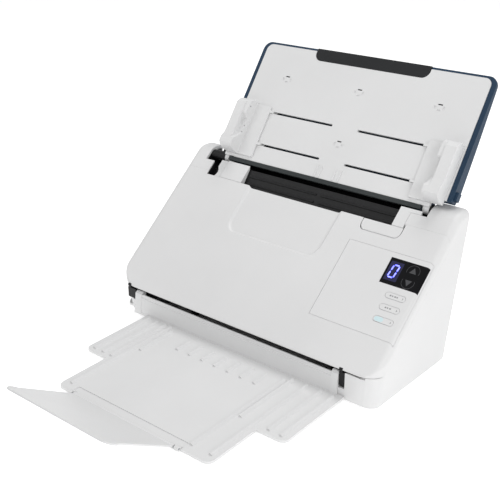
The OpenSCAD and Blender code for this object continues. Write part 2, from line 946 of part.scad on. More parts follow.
// tooth outline pointing +Y, half widths at root, pitch line and tip
module tooth(root, tip, wr, wt) {
  polygon([[-wr, root], [wr, root], [wt, tip], [-wt, tip]]);
}

// paper guide for the left side; the right one is its mirror with the rack below the pinion
module guide(side) {
  color([0.94, 0.94, 0.94])
  tray_frame()
  union() {
    // base that the sheets lie on
    gx(side, -guide_u - 1, -94) translate([0, 4, 0.3]) cube([guide_u + 1 - 94, 57, 1.6]);
    // wall with a stepped inner crest, hollow from below
    difference() {
      union() {
        gx(side, -129.4, -118) guide_wall(11.4, 0, 0);
        gx(side, -118.5, -guide_u) guide_wall(118.5 - guide_u, 0, 6);
      }
      gx(side, -127.4, -119.6) guide_wall(7.8, 2, 0);
    }
    // keys through the slots and the carriage behind the panel
    for (v = [19.4, 55.6])
      gx(side, -93, -89.5) translate([0, v - 0.9, -4.9]) cube([3.5, 1.8, 5.4]);
    for (v = [19.4, 55.6])
      gx(side, -95, -89.5) translate([0, v - 1.2, 0.3]) cube([5.5, 2.4, 1.6]);
    gx(side, -99, -88) translate([0, 15, -4.9]) cube([11, 45, 1.4]);
    // rack
    gx(side, -99, -93)
      translate([0, side < 0 ? pinion_v + 7.1 : pinion_v - 10.1, -7.2]) cube([6, 3, 3.6]);
    gx(side, -99, 9)
      translate([0, side < 0 ? pinion_v + 7.1 : pinion_v - 10.1, -7.2]) cube([108, 3, 2]);
    for (k = [-26 : 1])
      translate([-side * (k + 0.5) * pitch, pinion_v, -7.2])
        rotate(side < 0 ? 0 : 180)
          linear_extrude(2)
            polygon([[-0.8, 7.2], [0.8, 7.2], [0.35, 5.3], [-0.35, 5.3]]);
  }
}

// side outline of a guide's wall, l long across the tray, shrunk by m, its crest cut down by dip
module guide_wall(l, m, dip) {
  h = guide_h - m;
  rotate([90, 0, 90])
    linear_extrude(l)
      polygon([[4 + m, m > 0 ? 0 : 0.3], [4 + m, 8], [6.5 + m, h - 3], [9 + m, h], [15, h],
        [20, h - 2.5 - dip / 2], [25, h - 3 - dip], [41, h - 3 - dip], [45, h - 3 - dip / 4],
        [56, h - 3 - dip / 4], [60 - m, h - 6], [62.5 - m, 8], [62.5 - m, m > 0 ? 0 : 0.3]]);
}

// places a piece that spans u0 to u1 on the left, or its mirror span on the right
module gx(side, u0, u1) translate([side < 0 ? u0 : -u1, 0, 0]) children();

module guide_left() guide(-1);

module guide_right() guide(1);

module guide_pinion() {
  color([0.85, 0.85, 0.8])
  tray_frame()
  translate([0, pinion_v, -7.2])
    linear_extrude(2)
      difference() {
        union() {
          circle(r = 4.8);
          for (k = [0 : 11]) rotate(k * 30) tooth(4.4, 6.7, 0.75, 0.35);
        }
        circle(r = 1.56);
      }
}

// frame of the output tray: its own plate lies flat in it
module out_frame() {
  place()
    translate([0, 0, 7.3])
      rotate([out_fall, 0, 0]) children();
}

module out_outline() {
  r = 7;
  y1 = -1;
  for (s = [-1, 1]) {
    translate([s * (out_half - r), -out_step + r]) circle(r = r);
    translate([s * (out_tip_half - r), -out_len + r]) circle(r = r);
  }
  translate([-out_half, -out_step + r]) square([2 * out_half, out_step - r + y1]);
  translate([-out_half + r, -out_step]) square([2 * (out_half - r), 20]);
  translate([-out_tip_half, -out_len + r]) square([2 * out_tip_half, out_len - r + y1]);
  translate([-out_tip_half + r, -out_len]) square([2 * (out_tip_half - r), 20]);
}

// low rounded rib on the output tray
module out_rib(x, y0, y1) {
  translate([x, y1, 0])
    rotate([90, 0, 0])
      linear_extrude(y1 - y0) polygon([[-1.9, -0.4], [-1.9, 0], [-1.1, 1.7], [0.7, 1.7], [2.3, 0], [2.3, -0.4]]);
}

module output_tray_plate() {
  color([0.92, 0.92, 0.92])
  difference() {
    union() {
      out_frame() {
        translate([0, 0, -2.4]) linear_extrude(2.4) out_outline();
        // short ribs near the body, long ribs along both sides
        for (i = [-3 : 3]) out_rib(i * 15.8 - 1.5, -34, -16);
        for (x = [-113, -101.5, -90.5, 69.5, 100, 113]) out_rib(x, -80, -7);
        out_rib(-76, -56, -12);
        out_rib(64, -134, -12);
        for (x = [-83, 85]) out_rib(x, -134, -7);
      }
      place() {
        // upright back wall below the exit slot
        along_x(-131, 106.5)
          polygon([[-2.6, 5], [-0.6, 5], [1.2, 26.4], [0.1, 26.4], [-0.1, 22.9], [-0.8, 22.4]]);
        // arms that carry the pins
        for (a = [[-138.8, 8.8], [105.6, 7.2]])
          along_x(a[0], a[0] + a[1]) {
            translate(out_axis) circle(r = 2.9);
            polygon([[-3.2, 4.9], [1.4, 4.9], [6, 25], [5, 27.4], [3.2, 28.4], [1, 27.4], [-0.4, 26.4]]);
          }
        along_x(-138.8, -120) polygon([[-3.2, 4.9], [1.4, 4.9], [1.9, 7.4], [-2.6, 7.4]]);
      }
    }
    // recess where the paper stop's hinge folds in
    out_frame() translate([-flap_w / 2 - 8, -out_len - 1, -0.7]) cube([flap_w + 4, 11, 3]);
    // room for the hinge of the paper stop
    place() bar(-flap_w / 2 - 8, flap_w / 2 - 4, flap_axis, 3);
    place() bar(-140, -131, out_axis, 1.5);
    place() bar(106.6, 114, out_axis, 1.5);
  }
  // knuckles of the paper stop
  color([0.92, 0.92, 0.92])
  place()
  for (x = [-flap_w / 2 - 8, flap_w / 2 - 8.4])
    difference() {
      union() {
        bar(x, x + 4, flap_axis, 2.2);
        along_x(x, x + 4) polygon([[-144, 1], [-139, 1], [-139, 2.6], [-144, 5]]);
      }
      bar(x - 1, x + 5, flap_axis, 1.06);
    }
}

module output_tray_pins() {
  color([0.72, 0.72, 0.75])
  place() {
    bar(-147, -131, out_axis, 1.5);
    bar(106.6, 118.6, out_axis, 1.5);
  }
}

module flap_frame() {
  place()
    translate([-6, flap_axis[0], flap_axis[1]])
      rotate([-flap_lift, 0, 0]) children();
}

module stop_flap() {
  h = flap_w / 2;
  color([0.92, 0.92, 0.92])
  flap_frame()
  difference() {
    union() {
      translate([0, 0, -0.8]) linear_extrude(1.6) {
        translate([-h + 4, -flap_len + 9]) square([2 * h - 8, flap_len - 9]);
        for (s = [-1, 1]) translate([s * (h - 11), -flap_len + 9]) circle(r = 9);
        translate([-h + 11, -flap_len]) square([2 * h - 22, 12]);
      }
      translate([-h + 4, 0, 0]) rotate([0, 90, 0]) cylinder(h = 2 * h - 8, r = 2);
    }
    translate([-h, 0, 0]) rotate([0, 90, 0]) cylinder(h = 2 * h, r = 1.0);
  }
}

module flap_hinge_rod() {
  color([0.72, 0.72, 0.75])
  place() bar(-flap_w / 2 - 8, flap_w / 2 - 4.4, flap_axis, 1.0);
}

base_housing();
bottom_plate();
rear_cover();
rubber_feet();
base_screws();
paper_chassis();
throat_liners();
throat_block_left();
throat_block_right();
side_frame_left();
side_frame_right();
drive_motor();
main_board();
board_chips();
usb_port();
power_jack();
rear_image_sensor();
rear_sensor_glass();
drive_belt();
motor_belt();
transport_shaft();
transport_tyres();
feed_shaft();
feed_tyres();
exit_shaft();
exit_tyres();
motor_pulley();
adf_cover_shell();
cover_liner();
front_image_sensor();
front_sensor_glass();
control_panel();
display_window();
panel_board();
cover_hinge_pins();
separation_roller();
middle_idlers();
exit_idlers();
up_key();
down_key();
mode_key_one();
mode_key_two();
start_key();
release_button();
tray_panel();
tray_back_shell();
tray_handle();
tray_seal_strip();
tray_hinge_pins();
tray_hinge_sleeves();
guide_left();
guide_right();
guide_pinion();
output_tray_plate();
output_tray_pins();
stop_flap();
flap_hinge_rod();
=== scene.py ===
import json
import math

import bmesh
import bpy
from mathutils import Matrix, Vector

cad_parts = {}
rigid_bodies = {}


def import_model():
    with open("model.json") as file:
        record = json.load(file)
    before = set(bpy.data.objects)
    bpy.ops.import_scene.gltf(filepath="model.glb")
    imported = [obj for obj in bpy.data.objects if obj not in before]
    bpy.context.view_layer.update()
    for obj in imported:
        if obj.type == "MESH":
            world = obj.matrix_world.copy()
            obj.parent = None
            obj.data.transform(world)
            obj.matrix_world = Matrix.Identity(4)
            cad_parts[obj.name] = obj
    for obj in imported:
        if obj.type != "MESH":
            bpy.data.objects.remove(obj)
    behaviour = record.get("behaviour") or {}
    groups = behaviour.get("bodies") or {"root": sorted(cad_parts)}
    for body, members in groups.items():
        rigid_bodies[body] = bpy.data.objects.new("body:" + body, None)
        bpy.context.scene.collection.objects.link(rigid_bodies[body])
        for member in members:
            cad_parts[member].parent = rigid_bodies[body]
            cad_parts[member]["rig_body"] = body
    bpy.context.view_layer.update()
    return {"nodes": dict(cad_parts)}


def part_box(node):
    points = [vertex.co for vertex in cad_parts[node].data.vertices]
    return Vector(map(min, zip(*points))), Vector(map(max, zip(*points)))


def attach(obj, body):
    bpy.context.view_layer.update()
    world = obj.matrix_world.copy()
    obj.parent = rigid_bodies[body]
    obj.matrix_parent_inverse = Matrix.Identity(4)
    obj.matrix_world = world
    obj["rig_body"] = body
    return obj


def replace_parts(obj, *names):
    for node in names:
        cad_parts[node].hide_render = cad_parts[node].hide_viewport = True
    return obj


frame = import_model()
nodes = frame["nodes"]

# Shapes are written in the design's own millimetres: X from the middle of the paper path, Y from
# the front of the body, Z from the desk. TO_M carries them into the frame of the CAD, in metres.
LEFT, RIGHT, FOOT = -171.0, 150.0, 3.0
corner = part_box("base_housing")[0]
SHIFT = Vector((corner.x - LEFT / 1000, corner.y, 0.0))
TO_M = Matrix.Translation(SHIFT) @ Matrix.Diagonal((0.001, 0.001, 0.001, 1.0))


def at(x, y, z):
    return TO_M @ Vector((x, y, z))


WALL = 2.5
SHOULDER_Z = 144.5
SLOPE = 0.865
SLOPE_A = math.atan(SLOPE)
COS_S = math.cos(SLOPE_A)
# height of the seam between the housing and the front cover, and the axis the cover turns about
PART_Z = 31.6
COVER_AXIS = (1.8, PART_Z)
# ends of the front opening, and the gap in the frame between the shoulders
OUT_X0, OUT_X1 = -150.7, 119.6
BAY_X0, BAY_X1 = -150, 119.7


def slope_z(y):
    """Height of the sloping face at depth y."""
    return 33.9 + SLOPE * (y - 2.0)


# ------------------------------------------------------------------ materials
def new_material(name):
    m = bpy.data.materials.new(name)
    m.use_nodes = True
    t = m.node_tree
    t.nodes.clear()
    out = t.nodes.new("ShaderNodeOutputMaterial")
    b = t.nodes.new("ShaderNodeBsdfPrincipled")
    t.links.new(b.outputs["BSDF"], out.inputs["Surface"])
    return m, t, b


def coords(t, scale=(1, 1, 1)):
    c = t.nodes.new("ShaderNodeTexCoord")
    mp = t.nodes.new("ShaderNodeMapping")
    mp.inputs["Scale"].default_value = scale
    t.links.new(c.outputs["Object"], mp.inputs["Vector"])
    return mp.outputs["Vector"]


def noise(t, vec, scale, detail, rough):
    n = t.nodes.new("ShaderNodeTexNoise")
    n.inputs["Scale"].default_value = scale
    n.inputs["Detail"].default_value = detail
    n.inputs["Roughness"].default_value = rough
    t.links.new(vec, n.inputs["Vector"])
    return n.outputs["Fac"]


def ramp(t, fac, stops):
    r = t.nodes.new("ShaderNodeValToRGB")
    while len(r.color_ramp.elements) < len(stops):
        r.color_ramp.elements.new(0.5)
    for e, (p, c) in zip(r.color_ramp.elements, stops):
        e.position = p
        e.color = (*c, 1.0)
    t.links.new(fac, r.inputs["Fac"])
    return r.outputs["Color"]


def moulded(name, dark, light, rough, grain, bump, spread=0.06, spec=0.5):
    """Moulded plastic: soft mottling, a fine spark-eroded grain and uneven gloss."""
    m, t, b = new_material(name)
    v = coords(t)
    broad = noise(t, v, 9.0, 4.0, 0.55)
    t.links.new(ramp(t, broad, [(0.3, dark), (0.7, light)]), b.inputs["Base Color"])
    fine = noise(t, v, grain, 2.0, 0.6)
    low, high = rough - spread, rough + spread
    gloss = ramp(t, fine, [(0.3, (low,) * 3), (0.7, (high,) * 3)])
    t.links.new(gloss, b.inputs["Roughness"])
    bp = t.nodes.new("ShaderNodeBump")
    bp.inputs["Strength"].default_value = bump
    bp.inputs["Distance"].default_value = 0.00005
    t.links.new(fine, bp.inputs["Height"])
    t.links.new(bp.outputs["Normal"], b.inputs["Normal"])
    b.inputs["Specular IOR Level"].default_value = spec
    return m


def metal(name, dark, light, rough, stretch):
    """Bare metal with fine drawn lines, which stretch along the axis with the smallest scale."""
    m, t, b = new_material(name)
    v = coords(t, stretch)
    lines = noise(t, v, 420.0, 5.0, 0.7)
    t.links.new(ramp(t, lines, [(0.25, dark), (0.75, light)]), b.inputs["Base Color"])
    gloss = ramp(t, lines, [(0.2, (rough - 0.07,) * 3), (0.8, (rough + 0.07,) * 3)])
    t.links.new(gloss, b.inputs["Roughness"])
    b.inputs["Metallic"].default_value = 1.0
    return m


def glow(name, dim, bright, strength, scale=260.0):
    """Lit plastic, a little uneven."""
    m, t, b = new_material(name)
    v = coords(t)
    n = noise(t, v, scale, 2.0, 0.5)
    c = ramp(t, n, [(0.2, dim), (0.8, bright)])
    t.links.new(c, b.inputs["Emission Color"])
    t.links.new(c, b.inputs["Base Color"])
    b.inputs["Emission Strength"].default_value = strength
    b.inputs["Roughness"].default_value = 0.4
    return m


def grey(v, blue=0.0):
    return v, v, v + blue


WHITE = moulded("shell_white", grey(0.69, 0.002), grey(0.725, 0.002), 0.46, 1100.0, 0.10)
TRAY = moulded("tray_white", (0.69, 0.691, 0.693), (0.725, 0.726, 0.728), 0.42, 900.0, 0.08)
PANEL = moulded("panel_white", grey(0.7, 0.002), grey(0.735, 0.002), 0.34, 1300.0, 0.05)
NAVY = moulded("slate_blue", (0.016, 0.037, 0.07), (0.026, 0.054, 0.095), 0.46, 700.0, 0.22,
               spec=0.2)
CHARCOAL = moulded("charcoal", (0.008, 0.009, 0.010), (0.016, 0.017, 0.019), 0.45, 650.0, 0.3,
                   spec=0.28)
# black plastic of the paper path and liners, also used for sheets of painted shade in the button's
# well and the tray's snap slits
BLACK_AND_SHADE = moulded("inner_black", (0.004, 0.004, 0.0045), (0.009, 0.009, 0.01), 0.42, 500.0, 0.25,
                spec=0.28)
SEAL = moulded("seal_grey", (0.022, 0.027, 0.028), (0.038, 0.044, 0.045), 0.6, 480.0, 0.4,
               spec=0.3)
GLOSS = moulded("smoked_window", (0.002, 0.002, 0.003), (0.004, 0.004, 0.006), 0.2, 60.0, 0.01,
                spread=0.03, spec=0.2)
RUBBER = moulded("rubber", (0.012, 0.012, 0.013), (0.026, 0.026, 0.028), 0.72, 1500.0, 0.5)
RIBBED = moulded("feed_rubber", (0.03, 0.03, 0.032), (0.055, 0.055, 0.058), 0.66, 1500.0, 0.6)
ACETAL = moulded("acetal", (0.62, 0.61, 0.57), (0.7, 0.69, 0.65), 0.3, 800.0, 0.05)
CHIP = moulded("chip", grey(0.012), grey(0.03), 0.55, 1200.0, 0.3)
STEEL = metal("steel_bar", (0.42, 0.43, 0.45), (0.62, 0.63, 0.65), 0.28, (0.05, 1, 1))
PLATE = metal("steel_plate", (0.4, 0.41, 0.43), (0.55, 0.56, 0.58), 0.36, (1, 1, 0.04))
INLET = metal("plated", (0.5, 0.5, 0.52), (0.68, 0.68, 0.7), 0.22, (1, 1, 1))
DIGIT = glow("digit_blue", (0.09, 0.1, 0.85), (0.2, 0.22, 1.0), 3.4)
DIGIT_BED = glow("digit_bed", (0.001, 0.001, 0.018), (0.002, 0.002, 0.034), 0.8)
CYAN = glow("start_light", (0.52, 0.68, 0.72), (0.6, 0.74, 0.77), 0.06, 90.0)
# grey print on the keys, also used for painted shade of small round dents on the left guide
GREY_PRINT_AND_SHADE = moulded("key_print_and_dent_shade", (0.22, 0.22, 0.23), (0.3, 0.3, 0.31), 0.5, 900.0, 0.05)
ARROW = moulded("arrow_grey", (0.06, 0.06, 0.065), (0.1, 0.1, 0.105), 0.35, 900.0, 0.08, spec=0.3)

BOARD, t_, b_ = new_material("circuit_board")
v_ = coords(t_)
cell = t_.nodes.new("ShaderNodeTexVoronoi")
cell.feature = "DISTANCE_TO_EDGE"
cell.inputs["Scale"].default_value = 260.0
t_.links.new(v_, cell.inputs["Vector"])
traces = ramp(t_, cell.outputs["Distance"], [
    (0.0, (0.25, 0.22, 0.08)), (0.06, (0.01, 0.09, 0.035)), (1.0, (0.015, 0.12, 0.05))])
t_.links.new(traces, b_.inputs["Base Color"])
b_.inputs["Roughness"].default_value = 0.35

GLASS, t_, b_ = new_material("sensor_glass")
v_ = coords(t_)
smear = noise(t_, v_, 60.0, 4.0, 0.6)
tint = ramp(t_, smear, [(0.3, (0.03, 0.035, 0.036)), (0.7, (0.05, 0.056, 0.058))])
t_.links.new(tint, b_.inputs["Base Color"])
t_.links.new(ramp(t_, smear, [(0.3, (0.04,) * 3), (0.7, (0.12,) * 3)]), b_.inputs["Roughness"])
b_.inputs["Coat Weight"].default_value = 0.8
b_.inputs["Coat Roughness"].default_value = 0.04

LOOKS = (
    (WHITE, "base_housing bottom_plate rear_cover adf_cover_shell release_button"),
    (TRAY, "throat_block_left throat_block_right tray_panel guide_left guide_right"
           " output_tray_plate stop_flap"),
    (PANEL, "control_panel mode_key_one mode_key_two start_key"),
    (NAVY, "tray_back_shell"), (CHARCOAL, "tray_handle"), (SEAL, "tray_seal_strip"),
    (BLACK_AND_SHADE, "paper_chassis throat_liners cover_liner tray_hinge_sleeves"),
    (GLOSS, "display_window"), (ARROW, "up_key down_key"),
    (RUBBER, "rubber_feet drive_belt motor_belt"),
    (RIBBED, "transport_tyres feed_tyres exit_tyres separation_roller"),
    (ACETAL, "middle_idlers exit_idlers guide_pinion"),
    (CHIP, "board_chips power_jack rear_image_sensor front_image_sensor"),
    (BOARD, "main_board panel_board"), (GLASS, "rear_sensor_glass front_sensor_glass"),
    (PLATE, "side_frame_left side_frame_right drive_motor"),
    (STEEL, "transport_shaft feed_shaft exit_shaft motor_pulley cover_hinge_pins"
            " tray_hinge_pins output_tray_pins flap_hinge_rod"),
    (INLET, "base_screws usb_port"),
)
NODE_LOOK = {name: look for look, names in LOOKS for name in names.split()}
for name, look in NODE_LOOK.items():
    o = nodes[name]
    o.data.materials.clear()
    o.data.materials.append(look)


# ------------------------------------------------------------------ mesh helpers
SHARP = 32.0


def finish_mesh(me):
    me.validate()
    for p in me.polygons:
        p.use_smooth = True
    me.set_sharp_from_angle(angle=math.radians(SHARP))


def link(name, data):
    """A new object in the scene, from a mesh, a light or a camera."""
    o = bpy.data.objects.new(name, data)
    bpy.context.scene.collection.objects.link(o)
    return o


def make_object(name, me, look, body):
    """A piece of the visual model, which rides on a body."""
    finish_mesh(me)
    me.materials.clear()
    me.materials.append(look)
    o = link(name, me)
    w = o.modifiers.new("even_normals", "WEIGHTED_NORMAL")
    w.keep_sharp = True
    w.weight = 100
    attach(o, body)
    return o


def bm_from_node(name):
    """The node's mesh with its flat faces joined up again."""
    src = nodes[name].data
    bm = bmesh.new()
    vs = [bm.verts.new(v.co) for v in src.vertices]
    for p in src.polygons:
        try:
            bm.faces.new([vs[i] for i in p.vertices])
        except ValueError:
            pass
    bmesh.ops.remove_doubles(bm, verts=bm.verts, dist=2e-6)
    bmesh.ops.dissolve_limit(bm, angle_limit=math.radians(0.6), verts=bm.verts, edges=bm.edges)
    bmesh.ops.recalc_face_normals(bm, faces=bm.faces)
    return bm


def soften(bm, width, segments, angle, pick=None):
    """Rounds the edges that turn by more than angle degrees, or those of them that pick accepts."""
    edges = [e for e in bm.edges if len(e.link_faces) == 2
             and e.calc_face_angle(0.0) > math.radians(angle) and (pick is None or pick(e))]
    bmesh.ops.bevel(bm, geom=edges, offset=width, segments=segments, profile=0.5,
                    affect="EDGES", clamp_overlap=True)


def refine(name, width, segments, pick=None):
    """The CAD node's own shape with its moulded edges rounded."""
    bm = bm_from_node(name)
    soften(bm, width, segments, SHARP, pick)
    me = bpy.data.meshes.new(name + "_moulded")
    bm.to_mesh(me)
    bm.free()
    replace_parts(make_object(name + "_moulded", me, NODE_LOOK[name], nodes[name]["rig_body"]), name)


def to_temp(bm):
    me = bpy.data.meshes.new("cutter")
    bm.to_mesh(me)
    bm.free()
    return link("cutter", me)


def closed_between(first, second, place=None):
    """Closed solid between two outlines with the same number of points."""
    bm = bmesh.new()
    a = [bm.verts.new(p) for p in first]
    b = [bm.verts.new(p) for p in second]
    n = len(a)
    bm.faces.new(a)
    bm.faces.new(b[::-1])
    for i in range(n):
        bm.faces.new((a[i], b[i], b[(i + 1) % n], a[(i + 1) % n]))
    if place is not None:
        bmesh.ops.transform(bm, matrix=place, verts=bm.verts)
    bmesh.ops.recalc_face_normals(bm, faces=bm.faces)
    return to_temp(bm)


def prism(pts, x0, x1):
    """Closed prism along X from an outline in depth and height."""
    return closed_between([(x0, y, z) for y, z in pts], [(x1, y, z) for y, z in pts])


def extruded(pts, z0, z1, place=None):
    """Closed prism along Z from an outline in X and Y, then moved by place."""
    return closed_between([(x, y, z0) for x, y in pts], [(x, y, z1) for x, y in pts], place)


def block(x0, x1, y0, y1, z0, z1):
    return prism([(y0, z0), (y1, z0), (y1, z1), (y0, z1)], x0, x1)


def slab(x0, x1, lo, hi, y0, y1):
    """Block that follows the slope, from depth lo to depth hi under it."""
    a, b = lo / COS_S, hi / COS_S
    return prism([(y0, slope_z(y0) - a), (y1, slope_z(y1) - a),
                  (y1, slope_z(y1) - b), (y0, slope_z(y0) - b)], x0, x1)


def on_slope(x, y):
    """Placement on the slope, with its local Z square to it."""
    return Matrix.Translation((x, y, slope_z(y))) @ Matrix.Rotation(SLOPE_A, 4, "X")


def pill(length, width, n=10):
    """Outline with straight sides and round ends."""
    r, h = width / 2, length / 2 - width / 2
    right = [(h + r * math.sin(math.pi * i / n), -r * math.cos(math.pi * i / n))
             for i in range(n + 1)]
    return right + [(-x, -y) for x, y in right]


def round_rect(x0, x1, y0, y1, r, n=8):
    """Rectangle whose corners have one radius, or four radii from the front left round."""
    rs = r if isinstance(r, (tuple, list)) else (r, r, r, r)
    out = []
    corners = ((x0, y0, 180), (x1, y0, 270), (x1, y1, 0), (x0, y1, 90))
    for (cx, cy, a0), q in zip(corners, rs):
        sx = 1 if cx == x0 else -1
        sy = 1 if cy == y0 else -1
        for i in range(n + 1):
            a = math.radians(a0 + 90 * i / n)
            out.append((cx + sx * q + q * math.cos(a), cy + sy * q + q * math.sin(a)))
    return out


def boolean(base, steps):
    """Applies (operation, object) steps to a temporary object, and removes the cutters."""
    for op, c in steps:
        m = base.modifiers.new("cut", "BOOLEAN")
        m.operation = op
        m.object = c
        m.solver = "EXACT"
    dg = bpy.context.evaluated_depsgraph_get()
    dg.update()
    me = bpy.data.meshes.new_from_object(base.evaluated_get(dg))
    for _, c in steps:
        if c.name in bpy.data.objects:
            bpy.data.objects.remove(c)
    bpy.data.objects.remove(base)
    return link("cutter", me)


def settle(o, name, look, body, replaced=(), bevel=0.0, segments=2):
    """Turns a temporary object into a piece, in metres, riding on its body."""
    bm = bmesh.new()
    bm.from_mesh(o.data)
    bpy.data.objects.remove(o)
    bmesh.ops.transform(bm, matrix=TO_M, verts=bm.verts)
    bmesh.ops.remove_doubles(bm, verts=bm.verts, dist=2e-6)
    bmesh.ops.dissolve_limit(bm, angle_limit=math.radians(0.4), verts=bm.verts, edges=bm.edges)
    if bevel:
        soften(bm, bevel, segments, 40.0)
    me = bpy.data.meshes.new(name)
    bm.to_mesh(me)
    bm.free()
    p = make_object(name, me, look, body)
    if replaced:
        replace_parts(p, *replaced)


# ------------------------------------------------------------------ the body's rounded blank
def fillet(points, radii, steps):
    """Points of a closed outline whose corners are rounded, with the same count for every call."""
    out = []
    n = len(points)
    for i in range(n):
        p, a, b = Vector(points[i]), Vector(points[i - 1]), Vector(points[(i + 1) % n])
        u, v = (a - p).normalized(), (b - p).normalized()
        half = math.acos(max(-1.0, min(1.0, u.dot(v)))) / 2
        t = radii[i] / math.tan(half)
        t = min(t, (a - p).length * 0.49, (b - p).length * 0.49)
        r = t * math.tan(half)
        c = p + (u + v).normalized() * (r / math.sin(half))
        s, e = p + u * t - c, p + v * t - c
        ang = s.angle_signed(e) if s.length > 1e-9 and e.length > 1e-9 else 0.0
        for k in range(steps[i] + 1):
            f = -ang * k / steps[i]
            out.append((c.x + s.x * math.cos(f) - s.y * math.sin(f),
                        c.y + s.x * math.sin(f) + s.y * math.cos(f)))
    return out


def quarter(d, r):
    """How far a corner of radius r stands back at distance d from its side."""
    return r - math.sqrt(max(0.0, r * r - (r - d) ** 2)) if d < r else 0.0


def blank(m=0.0):
    """The whole body as one rounded solid, shrunk by m."""
    left, right = LEFT + m, RIGHT - m
    rl, rr = 30.0 - m, 20.0 - m
    tl, tr = max(9.0 - m, 0.8), max(6.5 - m, 0.8)
    stations = []
    bl, br = 44.0 - m, 11.0 - m
    for r, edge, sign in ((bl, left, 1), (rr, right, -1)):
        side = [0.0, 0.12, 0.45, 1.0, 1.8, 2.8, 4.0, 5.4, 7.0, 9.0, 11.5, 14.5, 18.0]
        side += [21.0, 25.0, 29.0, 34.0, 39.0, r] if sign > 0 else [br, r]
        side = sorted(set(round(s, 3) for s in side if s <= r))
        xs = [edge + sign * s for s in side]
        stations += xs
    stations = sorted(set(stations + [-100.0, 0.0, 90.0]))
    bm = bmesh.new()
    loops = []
    for x in stations:
        dl, dr = x - left, right - x
        yf = m + (quarter(dl, rl) if dl < rl else quarter(dr, rr))
        foot = m + (quarter(dl, bl) if dl < bl else quarter(dr, br))
        e = quarter(dl, tl) if dl < tl else quarter(dr, tr)
        er = quarter(dl, 5.0) if dl < 5 else quarter(dr, 5.0)
        eb = quarter(dl, 1.5) if dl < 1.5 else quarter(dr, 1.5)
        lip = 2.6 if 25 < dl and dr > 20 else 5.0
        low = (m + e) / COS_S
        top = (147.0 if x < -100 else 144.4) - m - e
        yk = 2.0 + (top - 33.9 + low) / SLOPE
        pts = [(foot, FOOT + m + eb), (yf, slope_z(yf) - low), (yk, top), (149.5 - m - er, top),
               (125.0 - m - er, 20.0), (122.0 - m - er, FOOT + m + eb)]
        crest = 30.0 if x > -100 else 16.0
        ring = fillet(pts, [1.5, lip, crest, 4.0, 60.0, 1.5], [3, 6, 10, 5, 4, 3])
        loops.append([bm.verts.new((x, y, z)) for y, z in ring])
    n = len(loops[0])
    for a, b in zip(loops, loops[1:]):
        for i in range(n):
            j = (i + 1) % n
            bm.faces.new((a[i], b[i], b[j], a[j]))
    bm.faces.new(loops[0])
    bm.faces.new(loops[-1][::-1])
    bmesh.ops.recalc_face_normals(bm, faces=bm.faces)
    return to_temp(bm)


# region of the moving front cover, in depth and height
def cover_region(g):
    return [(-8, PART_Z - g), (14, PART_Z - g), (112 + g, PART_Z + SLOPE * 98 - g),
            (112 + g, 175), (-8, 175)]


def rod(y, z, r, x0, x1, n=32):
    """Round bar along X."""
    return prism([(y + r * math.cos(2 * math.pi * i / n), z + r * math.sin(2 * math.pi * i / n))
                  for i in range(n)], x0, x1)


def rear_seat(m):
    """Opening of the rear access cover, grown by m: it follows the leaning rear wall."""
    lean = math.atan2(24.5, SHOULDER_Z - 21.0)
    place = Matrix.Translation((-120 - m, 131.2, 20)) @ Matrix.Rotation(-lean, 4, "X")
    wide = 150 + 2 * m
    return extruded([(0, -9), (wide, -9), (wide, 21), (0, 21)], 22 - m, 88 + m, place)


def round_port(x, z, r, n=32):
    """Round opening through the rear wall."""
    place = Matrix.Translation((x, 150, z)) @ Matrix.Rotation(math.radians(90), 4, "X")
    return extruded([(r * math.cos(2 * math.pi * i / n), r * math.sin(2 * math.pi * i / n))
                     for i in range(n)], 0, 40, place)


# lower housing
base = boolean(blank(), [
    ("DIFFERENCE", prism(cover_region(0.12), -200, 200)),
    ("DIFFERENCE", block(OUT_X0, OUT_X1, -6, 3.9, PART_Z - 2.1, 60)),
])
# the hollow below, then the hollow under the deck between the shoulders
tub = boolean(blank(WALL), [
    ("INTERSECT", prism([(-5, -5), (150, -5), (150, 62), (112, 111), (-5, 111)], -200, 200))])
between = boolean(blank(WALL), [("INTERSECT", block(BAY_X0, BAY_X1, 105, 165, 50, 123))])
base = boolean(base, [
    ("DIFFERENCE", tub),
    ("DIFFERENCE", between),
    # throat and bay of the input tray
    ("DIFFERENCE", block(-137.9, 103.2, 105, 121.5, 80, 180)),
    ("DIFFERENCE", block(BAY_X0, BAY_X1, 121.4, 144.6, 125.5, 185.5)),
    ("DIFFERENCE", block(BAY_X0, BAY_X1, 121.4, 165, 134, 194)),
    # open front for the output tray, and the groove of the seam at the right cheek
    ("DIFFERENCE", block(OUT_X0, OUT_X1, -5, 11, 16.8, 60)),
    ("DIFFERENCE", block(113.0, OUT_X1, -5, 11, 13.8, 60)),
    ("DIFFERENCE", block(-139.3, 113.1, -5, 11, FOOT + 2.2, 60)),
    ("DIFFERENCE", block(-139.3, 113.1, -5, 2.5, 0, 20)),
    ("DIFFERENCE", block(OUT_X1, 151, -2, 12.5, PART_Z - 0.5, PART_Z + 0.1)),
    # floor opening closed by the bottom plate
    ("DIFFERENCE", block(-165, 144, 8.5, 118.5, -1, 19)),
    # trough in which the cover's front lip turns
    ("DIFFERENCE", rod(*COVER_AXIS, 2.3, OUT_X1 - 1.0, 139)),
    # rear cover, data port, power inlet and lock slot
    ("DIFFERENCE", rear_seat(0.15)),
    ("DIFFERENCE", block(60, 73.4, 110, 150, 26, 38.4)),
    ("DIFFERENCE", round_port(90, 32, 5.6)),
    ("DIFFERENCE", block(-132, -125, 110, 150, 30, 33.4)),
])
settle(base, "housing_moulded", WHITE, "base", ("base_housing",))

# front cover
shell = boolean(blank(), [("INTERSECT", prism(cover_region(0.0), -200, 200))])
hollow = boolean(blank(WALL), [
    ("INTERSECT", prism([(3.6, 28), (14, 18), (113, 100), (113, 170), (3.6, 170)], -200, 200))])


